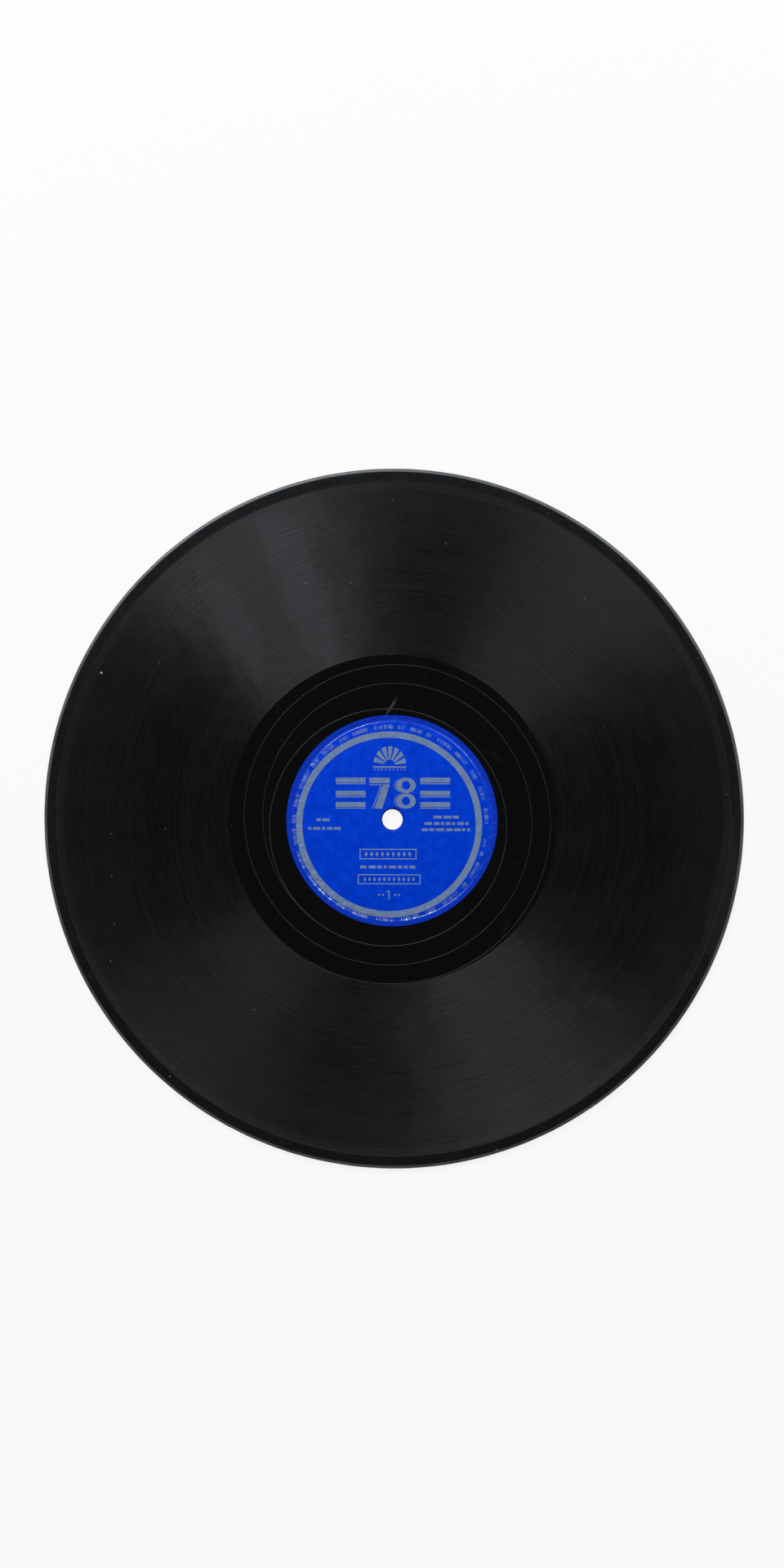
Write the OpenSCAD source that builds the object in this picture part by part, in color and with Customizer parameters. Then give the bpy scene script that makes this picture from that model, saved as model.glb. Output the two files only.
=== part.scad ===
// A ten inch shellac phonograph record, as pressed: one disc with a printed paper label
// fused into each face.
// The disc lies flat. Z is the spindle axis with side A up, and z = 0 is the plane that it
// rests on, which is the underside of the raised rim.

/* [Disc] */
// Outside diameter
disc_d = 251; // [170:0.5:305]
// Thickness between the two playing faces
disc_t = 2.1; // [1.6:0.05:3.5]
// Radius that the outer edge is ground to
edge_r = 0.85; // [0.2:0.05:0.9]
// Diameter of the spindle hole
hole_d = 7.3; // [7.1:0.01:9]

/* [Raised rim] */
// Width of the raised rim, from the outer edge to the foot of its step
rim_w = 4.9; // [2.5:0.1:8]
// Height of the rim above each playing face
rim_h = 0.15; // [0.13:0.01:0.4]
// Width of the slope at the foot of the rim
rim_step_w = 0.2; // [0.1:0.05:1]

/* [Labels] */
// Diameter of each paper label
label_d = 75.7; // [66:0.1:76]
// Thickness of the label paper
label_t = 0.13; // [0.08:0.01:0.3]
// How far the side A label sits off the hole, to the right
label_shift_x = -0.2; // [-0.8:0.05:0.8]
// How far the side A label sits off the hole, upward
label_shift_y = -0.45; // [-0.8:0.05:0.8]
// Diameter of the ring channel that is pressed into the label and the disc under it
ring_d = 71.4; // [40:0.1:72]
// Width of the ring channel
ring_w = 1.4; // [0.5:0.05:2]
// Depth of the ring channel
ring_depth = 0.12; // [0.04:0.01:0.2]

/* [Recorded groove] */
// Pitch of the recorded groove, from one turn to the next
groove_pitch = 0.25; // [0.2:0.005:0.32]
// Width of the recorded groove at the face
groove_w = 0.15; // [0.1:0.005:0.19]
// Depth of the recorded groove
groove_depth = 0.065; // [0.04:0.005:0.1]
// Real turns that each turn cut in this model stands for
turns_per_cut = 14; // [12:1:40]
// Diameter at which the recording ends
band_inner_d = 118.2; // [106:0.2:160]

/* [Lead in and run out] */
// Radial travel of the lead in groove, over its one turn
lead_in_w = 2.2; // [1:0.1:5]
// Turns of the run out groove
run_out_turns = 2; // [1:1:4]
// Width of the run out groove at the face
run_out_w = 0.26; // [0.15:0.01:0.4]
// Depth of the run out groove
run_out_depth = 0.11; // [0.06:0.01:0.18]
// Diameter of the off centre locked groove
lock_d = 85; // [83:0.1:90]
// How far the locked groove is off the spindle axis
lock_shift = 3.2; // [2:0.1:3.4]
// Direction in which the locked groove is off, counterclockwise from the right
lock_angle = 240; // [0:5:360]
// Width of the locked groove at the face
lock_w = 0.4; // [0.3:0.01:0.6]
// Depth of the locked groove
lock_depth = 0.17; // [0.12:0.01:0.25]

/* [Hidden] */
$fn = 240;
// Steps in which the quarter round of the outer edge is drawn
edge_steps = 5;
// How far a cutter reaches beyond the face that it cuts
overcut = 1;
// Part of a turn that may be missing where a whole number of turns just fits
turn_slack = 0.01;
disc_r = disc_d / 2;
hole_r = hole_d / 2;
ring_r = ring_d / 2;
rim_foot_r = disc_r - rim_w;
face_b_z = rim_h;
face_a_z = face_b_z + disc_t;
top_z = face_a_z + rim_h;
band_outer_r = rim_foot_r - lead_in_w;
cut_pitch = groove_pitch * turns_per_cut;
cut_turns = floor((band_outer_r - band_inner_d / 2) / cut_pitch + turn_slack);
band_end_r = band_outer_r - cut_turns * cut_pitch;
lock_far_r = lock_d / 2 + lock_shift;
run_out_pitch = (band_end_r - lock_far_r) / run_out_turns;
label_reach_r = label_d / 2 + norm([label_shift_x, label_shift_y]);
label_foot_z = face_a_z - label_t;
relief_end_r = max(label_reach_r, ring_r + ring_w / 2) + overcut;

// Radius and height points of a face, from the spindle hole out to end_r, with the ring channel.
// z is the height of the face.
function label_relief(z, end_r) = [
    [hole_r, z],
    [ring_r - ring_w / 2, z],
    [ring_r - ring_w / 4, z - ring_depth],
    [ring_r + ring_w / 4, z - ring_depth],
    [ring_r + ring_w / 2, z],
    [end_r, z],
];

// Points of one whole face, out over the rim's step and round the ground edge, with height
// counted from the middle of the thickness
function face_outline() = concat(
    label_relief(disc_t / 2, rim_foot_r),
    [[rim_foot_r + rim_step_w, disc_t / 2 + rim_h]],
    [for (i = [0:edge_steps])
        let (a = 90 - 90 * i / edge_steps)
        [disc_r - edge_r + edge_r * cos(a), disc_t / 2 + rim_h - edge_r + edge_r * sin(a)]]
);

function reversed(points) = [for (i = [len(points) - 1:-1:0]) points[i]];

function upside_down(points) = [for (p = points) [p[0], -p[1]]];

// The blank that the grooves and label seats are cut in
module blank() {
    translate([0, 0, top_z / 2])
        rotate_extrude()
            polygon(concat(face_outline(), reversed(upside_down(face_outline()))));
}

// Section of a V groove with its point down, about the face at height 0. The flanks run on past
// the face, so that the cutter's top stands clear of it.
module v_section(w, depth) {
    rise = depth / 2;
    half_top = w / 2 * (depth + rise) / depth;
    polygon([[-half_top, rise], [0, -depth], [half_top, rise]]);
}

// Half turns of V groove about one centre, at each radius given, from start_angle on
module half_turns(centre_x, radii, start_angle, w, depth) {
    translate([centre_x, 0, 0])
        rotate([0, 0, start_angle])
            rotate_extrude(angle = 180)
                for (r = radii)
                    translate([r, 0])
                        v_section(w, depth);
}

// A spiral groove that runs inward counterclockwise from start_r, on the left of the axis. Each
// turn is two half circles, and their centres lie pitch / 4 to either side of the axis.
module spiral(start_r, pitch, turns, w, depth) {
    lower = [for (k = [0:turns - 1]) start_r - k * pitch - pitch / 4];
    upper = [for (k = [0:turns - 1]) start_r - k * pitch - 3 * pitch / 4];
    half_turns(-pitch / 4, lower, 180, w, depth);
    half_turns(pitch / 4, upper, 0, w, depth);
}

// The closed ring that ends the groove and swings the pickup arm to and fro
module locked_groove() {
    translate([-lock_shift, 0, 0])
        rotate_extrude()
            translate([lock_d / 2, 0])
                v_section(lock_w, lock_depth);
}

// One side's groove from rim to label: lead in, recording, run out and locked ring. Each meets
// the next on the same radius, where both run square to it.
module groove() {
    rotate([0, 0, lock_angle - 180]) {
        spiral(rim_foot_r, lead_in_w, 1, groove_w, groove_depth);
        spiral(band_outer_r, cut_pitch, cut_turns, groove_w, groove_depth);
        spiral(band_end_r, run_out_pitch, run_out_turns, run_out_w, run_out_depth);
        locked_groove();
    }
}

// Turns the disc over about its middle, so that what is on side A comes to side B
module other_side() {
    translate([0, 0, top_z])
        rotate([180, 0, 0])
            children();
}

// The round outline of the side A label, on its own centre
module label_outline() {
    translate([label_shift_x, label_shift_y, 0])
        cylinder(h = 2 * top_z, d = label_d);
}

// What the label takes out of side A, to a floor that keeps the ring channel. The label is
// fused in, with no clearance, so the seat and the label have the same outline and floor.
module label_seat() {
    above_z = face_a_z + overcut;
    intersection() {
        rotate_extrude()
            polygon(concat(
                label_relief(label_foot_z, relief_end_r),
                [[relief_end_r, above_z], [hole_r, above_z]]
            ));
        label_outline();
    }
}

// A label has one thickness all over, ring channel included
module label() {
    intersection() {
        rotate_extrude()
            polygon(concat(
                label_relief(label_foot_z, relief_end_r),
                reversed(label_relief(face_a_z, relief_end_r))
            ));
        label_outline();
    }
}

module disc() {
    color("#17181a")
        difference() {
            blank();
            translate([0, 0, face_a_z])
                groove();
            label_seat();
            other_side() {
                translate([0, 0, face_a_z])
                    groove();
                label_seat();
            }
        }
}

module label_side_a() {
    color("#1d50c8")
        label();
}

module label_side_b() {
    color("#1d50c8")
        other_side()
            label();
}

disc();
label_side_a();
label_side_b();
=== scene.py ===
# %% [markdown]
# # A ten inch shellac record
# A record like this is pressed in one stroke. A lump of hot black shellac compound is squeezed
# between two stampers, with a paper label lying in the middle of each. So the real object has
# only three pieces: the disc and its two labels. The CAD model gives their sizes and places, and
# it could be shown as it is. But a record is looked at from close by, in light that rakes its
# surface, so this script builds each piece again with a finer mesh and gives every part of it
# its own finish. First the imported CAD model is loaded, as a fixed frame to build in.

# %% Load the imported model
import math

import bmesh
import bpy
import numpy as np
from mathutils import Matrix, Vector


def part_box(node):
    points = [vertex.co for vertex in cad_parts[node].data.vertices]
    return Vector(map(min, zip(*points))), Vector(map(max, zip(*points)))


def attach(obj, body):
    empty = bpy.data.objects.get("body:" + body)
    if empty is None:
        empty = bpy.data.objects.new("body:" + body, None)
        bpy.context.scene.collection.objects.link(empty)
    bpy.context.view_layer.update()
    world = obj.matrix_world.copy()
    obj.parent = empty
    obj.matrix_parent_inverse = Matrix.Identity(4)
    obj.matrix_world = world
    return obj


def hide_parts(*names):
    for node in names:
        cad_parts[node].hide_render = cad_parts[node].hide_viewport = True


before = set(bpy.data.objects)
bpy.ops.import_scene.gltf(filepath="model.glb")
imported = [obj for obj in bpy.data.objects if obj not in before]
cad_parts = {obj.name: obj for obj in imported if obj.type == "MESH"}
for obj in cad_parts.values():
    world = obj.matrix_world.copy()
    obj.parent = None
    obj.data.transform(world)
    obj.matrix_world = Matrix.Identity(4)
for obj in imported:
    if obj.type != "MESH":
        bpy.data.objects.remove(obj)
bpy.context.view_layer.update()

print("CAD nodes:", ", ".join(sorted(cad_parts)))

# %% [markdown]
# ## Sizes
# Millimetres suit a record and Blender works in metres. So every shape below is worked out in
# millimetres and scaled once, as its mesh is made. The outside sizes are read from the packed
# nodes. The sizes of the small forms are the ones that the CAD model was drawn with.

# %% Sizes in millimetres
MM = 0.001
disc_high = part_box("disc")[1] / MM
label_low, label_high = (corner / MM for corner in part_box("label_side_a"))
disc_r, top_z = disc_high.x, disc_high.z
rim_w, rim_h, rim_step_w, edge_r = 4.9, 0.15, 0.2, 0.85
rim_foot_r = disc_r - rim_w
face_z = top_z - rim_h
hole_r = 3.65
label_centre = (label_low + label_high) / 2
label_r = (label_high.x - label_low.x) / 2
label_t = 0.13
seat_z = face_z - label_t
ring_r, ring_w, ring_depth = 35.7, 1.4, 0.12
lead_in_w = 2.2
band_outer_r, band_inner_r = rim_foot_r - lead_in_w, 59.1
print(f"disc {2 * disc_r:.1f} mm across and {top_z:.2f} thick, label {2 * label_r:.1f} across")

# %% [markdown]
# ## The camera
# The photograph looks at the disc almost square on. A circle seen a little from one side keeps
# nearly its shape, so its outline says little about the tilt. Its centre says more: perspective
# makes the near half larger, and that moves the outline's middle away from the spindle hole. In
# the photograph it lies 2.6 pixels off, toward the right and up. If the hole is in the middle of
# the disc, the tilt follows. Real holes are often a little off, so it is an estimate.

# %% Camera
photo_w, photo_h = 960, 1920
disc_px, distance = 429.1, 1200.0  # the disc's radius in pixels, and mm from it to the camera
hole_px = Vector((480.4 - photo_w / 2, photo_h / 2 - 1003.55))
outline_px, outline_way = 2.6, math.radians(37)
focal_px = disc_px * distance / disc_r
tilt = math.asin(outline_px * distance / (disc_px * disc_r))
middle = Vector((0, 0, face_z))
sight = Vector((math.sin(tilt) * math.cos(outline_way),
                math.sin(tilt) * math.sin(outline_way), math.cos(tilt)))
eye = middle + sight * distance
aim = middle - Vector((hole_px.x, hole_px.y, 0)) * (disc_r / disc_px)

back = (eye - aim).normalized()
right = Vector((0, 1, 0)).cross(back).normalized()
facing_aim = Matrix((right, back.cross(right), back)).transposed().to_4x4()
camera = bpy.data.objects.new("camera", bpy.data.cameras.new("camera"))
camera.data.lens = focal_px / photo_h * camera.data.sensor_width
camera.matrix_world = Matrix.Translation(eye * MM) @ facing_aim
bpy.context.scene.collection.objects.link(camera)
bpy.context.scene.camera = camera
print(f"lens {camera.data.lens:.1f} mm, looking {math.degrees(tilt):.1f} degrees off square")

# %% [markdown]
# ## Node helpers
# The sky and every material are small programs drawn as boxes and wires. A few helpers keep them
# short to write: `put` adds one box and feeds its inputs, and `figure` adds one step of
# arithmetic. Where an input is given another box's output it is wired, and otherwise it gets the
# plain value.

# %% Helpers for nodes
def put(tree, kind, feeds=None, **settings):
    """Adds one node. feeds is {input: number, colour or another node's output}."""
    made = tree.nodes.new(kind)
    for name, value in settings.items():
        setattr(made, name, value)
    for name, value in (feeds or {}).items():
        if isinstance(value, bpy.types.NodeSocket):
            tree.links.new(value, made.inputs[name])
        else:
            made.inputs[name].default_value = value
    return made


def figure(tree, operation, a, b=0.0, clamp=False):
    """One step of arithmetic, such as figure(tree, "MULTIPLY", a, b)."""
    made = put(tree, "ShaderNodeMath", {0: a, 1: b}, operation=operation, use_clamp=clamp)
    return made.outputs[0]


def vector_length(tree, vector):
    """How long a vector is."""
    return put(tree, "ShaderNodeVectorMath", {0: vector}, operation="LENGTH").outputs["Value"]


def fade(tree, value, start, end, low=0.0, high=1.0):
    """low where value is at start, high where it is at end, and smooth between."""
    feeds = {"Value": value, "From Min": start, "From Max": end, "To Min": low, "To Max": high}
    made = put(tree, "ShaderNodeMapRange", feeds, interpolation_type="SMOOTHSTEP")
    return made.outputs["Result"]


def blend(tree, share, under, over):
    """One colour laid over another by a share from 0 to 1."""
    return put(tree, "ShaderNodeMix", {0: share, 6: under, 7: over}, data_type="RGBA").outputs[2]


def grey(level, tint=(1.0, 1.0, 1.0)):
    """A grey of that level, which a tint may colour a little."""
    return (level * tint[0], level * tint[1], level * tint[2], 1.0)


node_helpers = (put, figure, vector_length, fade, blend, grey)
print("node helpers:", ", ".join(helper.__name__ for helper in node_helpers))

# %% [markdown]
# ## Light
# Grooves act as millions of tiny curved mirrors. Each shows a lamp only where the lamp lies
# across the groove, so every lamp draws a bright ray on the disc and a weaker one opposite. The
# photograph has a wide ray toward 50 degrees, counted counterclockwise from the right, and one
# in two narrow parts toward 114 and 132. So three softboxes stand there, halfway up: a square
# one and two upright strips.

# %% Softboxes
lamp_distance = 1.5
lamp_colour = (0.86, 0.915, 1.0)


def softbox(name, azimuth, elevation, width, height, radiance):
    """A rectangular lamp that faces the middle of the disc. Angles are in degrees, sizes in
    metres. Gives how brightly it lights a flat surface."""
    a, e = math.radians(azimuth), math.radians(elevation)
    way = Vector((math.cos(a) * math.cos(e), math.sin(a) * math.cos(e), math.sin(e)))
    lamp = bpy.data.lights.new(name, "AREA")
    lamp.shape, lamp.size, lamp.size_y = "RECTANGLE", width, height
    lamp.energy = radiance * math.pi * width * height
    lamp.color = lamp_colour
    placed = bpy.data.objects.new(name, lamp)
    placed.location = way * lamp_distance
    placed.rotation_euler = way.to_track_quat("Z", "Y").to_euler()
    bpy.context.scene.collection.objects.link(placed)
    return radiance * width * height * math.sin(e) / lamp_distance ** 2 / math.pi


level = softbox("softbox_left", azimuth=114, elevation=46, width=0.14, height=0.80, radiance=26.3)
level += softbox("softbox_left_low", azimuth=132.5, elevation=44, width=0.20, height=0.80,
                 radiance=15.2)
level += softbox("softbox_right", azimuth=50, elevation=46, width=0.62, height=0.62, radiance=7.7)
print(f"the lamps light a flat surface at {level:.2f} of the plain level")

# %% [markdown]
# The blank shellac mirrors what is above the disc, and in the photograph that is dark. So the
# world is dim overhead and pale only near the horizon. What the camera itself sees of it is
# plain white.

# %% World
horizon_level, overhead_level, haze_top = 0.56, 0.048, 0.45

world = bpy.data.worlds.new("world")
bpy.context.scene.world = world
world.use_nodes = True
sky = world.node_tree
sky.nodes.clear()
way = put(sky, "ShaderNodeTexCoord").outputs["Generated"]
upward = put(sky, "ShaderNodeSeparateXYZ", {0: way}).outputs["Z"]
dimming = fade(sky, upward, 0.0, haze_top, horizon_level, overhead_level)
to_camera = put(sky, "ShaderNodeLightPath").outputs["Is Camera Ray"]
strength = put(sky, "ShaderNodeMix", {"Factor": to_camera, "A": dimming, "B": 1.0})
background = put(sky, "ShaderNodeBackground",
                 {"Color": grey(1.0), "Strength": strength.outputs["Result"]})
put(sky, "ShaderNodeOutputWorld", {"Surface": background.outputs[0]})
bpy.context.scene.view_settings.view_transform = "Standard"
print(f"the world goes from {horizon_level} at the horizon to {overhead_level} overhead")

# %% [markdown]
# ## The floor
# The disc lies on a plain pale sheet. Its whiteness comes from its own colour: for what the
# camera and mirrors see, most of it glows at a strength just under 1, and the rest is lit as
# usual, so that the disc's shadow stays. Farther off, where the lamps light it less, it is all
# glow. Lit surfaces nearby get no glow from it.

# %% Floor
sheet_r = 8.0
shadow_reach, all_glow_from, glow_by_disc = 0.15, 0.6, 0.88

floor_mesh = bpy.data.meshes.new("floor")
sheet = bmesh.new()
bmesh.ops.create_circle(sheet, cap_ends=True, radius=sheet_r, segments=96)
sheet.to_mesh(floor_mesh)
sheet.free()
floor = bpy.data.objects.new("floor", floor_mesh)
bpy.context.scene.collection.objects.link(floor)

pale = bpy.data.materials.new("pale_sheet")
pale.use_nodes = True
tree = pale.node_tree
tree.nodes.clear()
path = put(tree, "ShaderNodeLightPath").outputs
seen = figure(tree, "MAXIMUM", path["Is Camera Ray"], path["Is Glossy Ray"])
seen = figure(tree, "MAXIMUM", seen, path["Is Transmission Ray"])
lit = put(tree, "ShaderNodeBsdfDiffuse", {"Color": grey(0.85)})
glow = put(tree, "ShaderNodeEmission", {"Color": grey(0.99), "Strength": 1.0})
away = vector_length(tree, put(tree, "ShaderNodeTexCoord").outputs["Object"])
glowing = fade(tree, away, shadow_reach, all_glow_from, glow_by_disc, 1.0)
share = figure(tree, "MULTIPLY", seen, glowing)
both = put(tree, "ShaderNodeMixShader", {0: share, 1: lit.outputs[0], 2: glow.outputs[0]})
put(tree, "ShaderNodeOutputMaterial", {"Surface": both.outputs[0]})
floor_mesh.materials.append(pale)
print(f"a sheet {2 * sheet_r:.0f} m across, whose rim blends into the white world")

# %% [markdown]
# ## Rings on common rays
# The disc and the labels are turned shapes, so a lathe suits them: a profile spun round an axis.
# Blender's Screw or Spin could do it, but here some rings aren't round about the axis. The label
# sits a little off centre and the edges are worn. So each ring is kept as a distance and a
# height on every one of 720 rays. Neighbouring rings join ray by ray, with no twisted faces.

# %% Rings and the lathe
RAYS = 720
FULL_TURN = 2 * math.pi
ray = np.arange(RAYS) * FULL_TURN / RAYS
ray_x, ray_y = np.cos(ray), np.sin(ray)
other_side = -np.arange(RAYS) % RAYS


def off_centre(radius, centre):
    """How far a circle round another centre lies from the axis, on every ray."""
    along = centre[0] * ray_x + centre[1] * ray_y
    return along + np.sqrt(radius ** 2 - centre[0] ** 2 - centre[1] ** 2 + along ** 2)


def turned_over(rings):
    """The rings of side A as they lie on side B, once the disc is turned about the X axis."""
    spread = [(np.full(RAYS, r, float), np.full(RAYS, z, float)) for r, z in rings]
    return [(r[other_side], top_z - z[other_side]) for r, z in spread]


def lathe(name, rings, finishes):
    """A closed mesh through all the rings, the last one joined to the first. finishes gives the
    material slot of the strip after each ring."""
    places = [np.stack([r * ray_x, r * ray_y, np.full(RAYS, z, float)], axis=-1) for r, z in rings]
    ring_number, ray_number = np.meshgrid(np.arange(len(rings)), np.arange(RAYS), indexing="ij")
    next_ring, next_ray = (ring_number + 1) % len(rings), (ray_number + 1) % RAYS
    corners = np.stack([ring_number * RAYS + ray_number, next_ring * RAYS + ray_number,
                        next_ring * RAYS + next_ray, ring_number * RAYS + next_ray], axis=-1)
    mesh = bpy.data.meshes.new(name)
    mesh.from_pydata(np.concatenate(places) * MM, [], corners.reshape(-1, 4).tolist())
    mesh.polygons.foreach_set("material_index", np.repeat(finishes, RAYS))
    return mesh


def piece(name, mesh):
    """Puts a mesh into the scene as a piece that rides on the record."""
    made = bpy.data.objects.new(name, mesh)
    bpy.context.scene.collection.objects.link(made)
    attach(made, "root")
    return made


print(f"{RAYS} rays, one every {360 / RAYS} degrees")

# %% [markdown]
# Nothing on an old record is quite even. Two helpers give the worn and chipped edges: one makes
# a wavy line round the disc from whole waves, so that it meets itself, and one bites small nicks
# out of an edge. Both draw from a seeded generator, so they come out alike every time. A third
# gives the depth of the ring channel, which the disc and its labels share.

# %% Wear on the edges, and the channel in the label
def bumps(seed, waves):
    """A smooth random curve round the disc, from -1 to 1, made of whole waves."""
    rng = np.random.default_rng(seed)
    curve = sum(rng.uniform(0.4, 1.0) * np.cos(n * ray + rng.uniform(0, FULL_TURN)) for n in waves)
    return curve / np.abs(curve).max()


def nicks(seed, count, longest, deepest, radius):
    """Small bites in an edge of that radius: how deep each ray is bitten."""
    rng = np.random.default_rng(seed)
    depth = np.zeros(RAYS)
    for bite_ray, size in zip(rng.uniform(0, FULL_TURN, count), rng.uniform(0.3, 1.0, count)):
        apart = np.abs((ray - bite_ray + math.pi) % FULL_TURN - math.pi) * radius
        bite = np.clip(1 - (2 * apart / (longest * size)) ** 2, 0, 1)
        depth = np.maximum(depth, deepest * size * bite)
    return depth


def ring_channel(radius):
    """How deep the die presses its round channel, at a distance from the axis."""
    up_the_wall = np.clip(4 * np.abs(radius - ring_r) / ring_w - 1, 0, 1)
    return ring_depth * (0.5 + 0.5 * np.cos(math.pi * up_the_wall))


print(f"the ring channel is {ring_channel(ring_r):.2f} mm deep at {ring_r} mm from the axis")

# %% [markdown]
# ## The disc
# The profile starts halfway up the wall of the spindle hole and climbs onto side A. Under the
# label it is the label's seat, with the ring channel. Then come the blank shellac, the grooved
# band, the narrow blank lead in, the step up to the rim, and the edge, which is ground round
# after pressing. The grooved band lies a trifle low, because its grooves take material away.
# Beside each corner a second ring stands guard, which keeps the smooth shading of the corner off
# the flat faces. On the outermost rings the wear is taken inward only, so that the disc keeps
# its size.

# %% Profile of the disc
BLANK, GROOVED, RIM, EDGE, CUT = range(5)
band_drop, seat_gap, lip_gap, guard = 0.015, 0.01, 0.03, 0.1
band_z = face_z - band_drop
seat_rim = off_centre(label_r + seat_gap, label_centre)
seat_lip = off_centre(label_r + lip_gap, label_centre)

profile = [(hole_r, top_z / 2, BLANK), (hole_r, seat_z - 0.12, BLANK),
           (hole_r + 0.05, seat_z - 0.03, BLANK), (hole_r + 0.15, seat_z, BLANK),
           (20.0, seat_z, BLANK)]
for r in np.linspace(ring_r - ring_w / 2, ring_r + ring_w / 2, 13):
    profile.append((r, seat_z - ring_channel(r), BLANK))
profile += [(seat_rim - guard, seat_z, BLANK), (seat_rim, seat_z, BLANK),
            (seat_rim, face_z - lip_gap, BLANK), (seat_lip, face_z, BLANK),
            (seat_lip + guard, face_z, BLANK), (band_inner_r - 2 * guard, face_z, BLANK),
            (band_inner_r - guard, face_z, GROOVED), (band_inner_r, band_z, GROOVED),
            (band_inner_r + 2 * guard, band_z, GROOVED),
            (band_outer_r - 2 * guard, band_z, GROOVED), (band_outer_r, band_z, GROOVED),
            (band_outer_r + guard, face_z, GROOVED), (band_outer_r + 3 * guard, face_z, GROOVED),
            (rim_foot_r - guard, face_z, GROOVED)]
print(len(profile), "rings from the spindle hole to the foot of the rim")

# %% Rim and edge of the profile
rim_crown = ((0.5, 0.0), (1.6, 0.002), (2.8, 0.018))  # distance from the rim's foot, and fall
shoulder_r, shoulder_z = disc_r - edge_r, top_z - 0.05
wear = 0.03 * (1 + bumps(3, range(7, 60)))
wear += nicks(5, count=60, longest=2.6, deepest=0.16, radius=disc_r)
least_wear = 0.35  # share of the wear that reaches the shoulder

for climb in np.linspace(0, 1, 6):
    height = rim_h * (0.5 - 0.5 * math.cos(math.pi * climb))
    profile.append((rim_foot_r + rim_step_w * climb, face_z + height, GROOVED))
profile += [(rim_foot_r + out, top_z - fall, RIM) for out, fall in rim_crown]
profile.append((shoulder_r - 0.3, shoulder_z + 0.01, EDGE))
for turn in np.radians(np.linspace(0, 90, 7)):
    worn_off = wear * (least_wear + (1 - least_wear) * math.sin(turn))
    across = shoulder_r + edge_r * math.sin(turn) - worn_off
    profile.append((across, shoulder_z - edge_r * (1 - math.cos(turn)), EDGE))
profile.append((disc_r, top_z / 2, EDGE))
print(len(profile), "rings on each side of the disc")

# %% [markdown]
# Side B is the same list turned over and read backward, from the edge in to the hole. The two
# rings in the middle of the thickness, one in the hole and one at the edge, belong to both.

# %% Mesh of the disc
rings_a = [(r, z) for r, z, _ in profile]
finish_a = [finish for _, _, finish in profile]
rings_b = turned_over(rings_a)[1:-1][::-1]
finish_b = finish_a[1:-1][::-1]
disc_finishes = finish_a[:-1] + [EDGE] + finish_b[1:] + [BLANK]
disc_mesh = lathe("record_disc", rings_a + rings_b, disc_finishes)
for _ in (BLANK, GROOVED, RIM, EDGE, CUT):
    disc_mesh.materials.append(None)
disc = piece("record_disc", disc_mesh)
print(len(disc_mesh.polygons), "faces before the grooves are cut")

# %% [markdown]
# ## The grooves that show one by one
# The recorded groove is too fine to see: four turns to a millimetre. Its look is left to the
# material. But the lead in, the run out and the locked groove stand alone, so they are real cuts
# with a rounded bottom, which catches a lamp as a thin bright line. Each is a solid swept along
# its path and taken away with a Boolean. As in the CAD model, one turn of a spiral is two half
# circles whose centres lie a quarter of the pitch to either side of the axis. The paths are
# drawn with the locked groove off to the left, and then turned to where it really lies.

# %% Paths of the grooves
lock_angle, lock_r, lock_shift = 240, 42.5, 3.2
run_out_turns = 2
run_out_pitch = (band_inner_r - lock_r - lock_shift) / run_out_turns
ARC_STEPS = 150
groove_turn = math.radians(lock_angle - 180)
turn_matrix = np.array([[math.cos(groove_turn), -math.sin(groove_turn)],
                        [math.sin(groove_turn), math.cos(groove_turn)]])


def arc(centre_x, radius, start, end):
    """Points on an arc, and the direction across the groove at each."""
    a = np.linspace(start, end, ARC_STEPS)
    points = np.stack([centre_x + radius * np.cos(a), radius * np.sin(a)], axis=-1)
    outward = np.stack([np.cos(a), np.sin(a)], axis=-1)
    return points @ turn_matrix.T, outward @ turn_matrix.T


def spiral(start_r, pitch, turns):
    """The path of a spiral groove that runs inward from start_r."""
    halves = []
    for k in range(turns):
        lower_r, upper_r = start_r - k * pitch - pitch / 4, start_r - k * pitch - 3 * pitch / 4
        halves.append(arc(-pitch / 4, lower_r, math.pi, FULL_TURN))
        halves.append(arc(pitch / 4, upper_r, 0, math.pi))
    joined = [halves[0]] + [(places[1:], across[1:]) for places, across in halves[1:]]
    return [np.concatenate(column) for column in zip(*joined)]


print(f"the run out has {run_out_turns} turns, {run_out_pitch:.1f} mm apart")


# %% A cutter for a groove
BOTTOM_STEPS = 9


def cutter(name, path, width, depth, finish, on_side_b, closed=False):
    """A solid with a round bottomed section, swept along a path. It reaches above the face."""
    bottom = [(width / 2 * t, -depth * (1 - t * t)) for t in np.linspace(-1, 1, BOTTOM_STEPS)]
    flare, above = 0.65 * width, 0.3
    section = [(-flare, above)] + bottom + [(flare, above)]
    places, outward = path
    if closed:
        places, outward = places[:-1], outward[:-1]
    made = bmesh.new()
    loops = []
    for place, out in zip(places, outward):
        loop = [(*(place + out * s), face_z + z) for s, z in section]
        if on_side_b:
            loop = [(x, -y, top_z - z) for x, y, z in loop]
        loops.append([made.verts.new(point) for point in loop])
    for first, second in zip(loops, loops[1:] + (loops[:1] if closed else [])):
        for k in range(len(section)):
            made.faces.new((first[k - 1], first[k], second[k], second[k - 1]))
    if not closed:
        made.faces.new(loops[0])
        made.faces.new(loops[-1][::-1])
    bmesh.ops.recalc_face_normals(made, faces=made.faces)
    bmesh.ops.scale(made, vec=(MM, MM, MM), verts=made.verts)
    for face in made.faces:
        face.material_index = finish
    mesh = bpy.data.meshes.new(name)
    made.to_mesh(mesh)
    made.free()
    solid = bpy.data.objects.new(name, mesh)
    bpy.context.scene.collection.objects.link(solid)
    return solid


print(f"the round bottom of a groove has {BOTTOM_STEPS - 1} facets across")

# %% Cut the grooves
lead_in_size, run_out_size, lock_size = (0.15, 0.065), (0.26, 0.11), (0.4, 0.17)  # width, depth
lead_in_path = spiral(rim_foot_r, rim_foot_r - band_outer_r, 1)
run_out_path = spiral(band_inner_r, run_out_pitch, run_out_turns)
lock_path = arc(-lock_shift, lock_r, 0, FULL_TURN)

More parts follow.
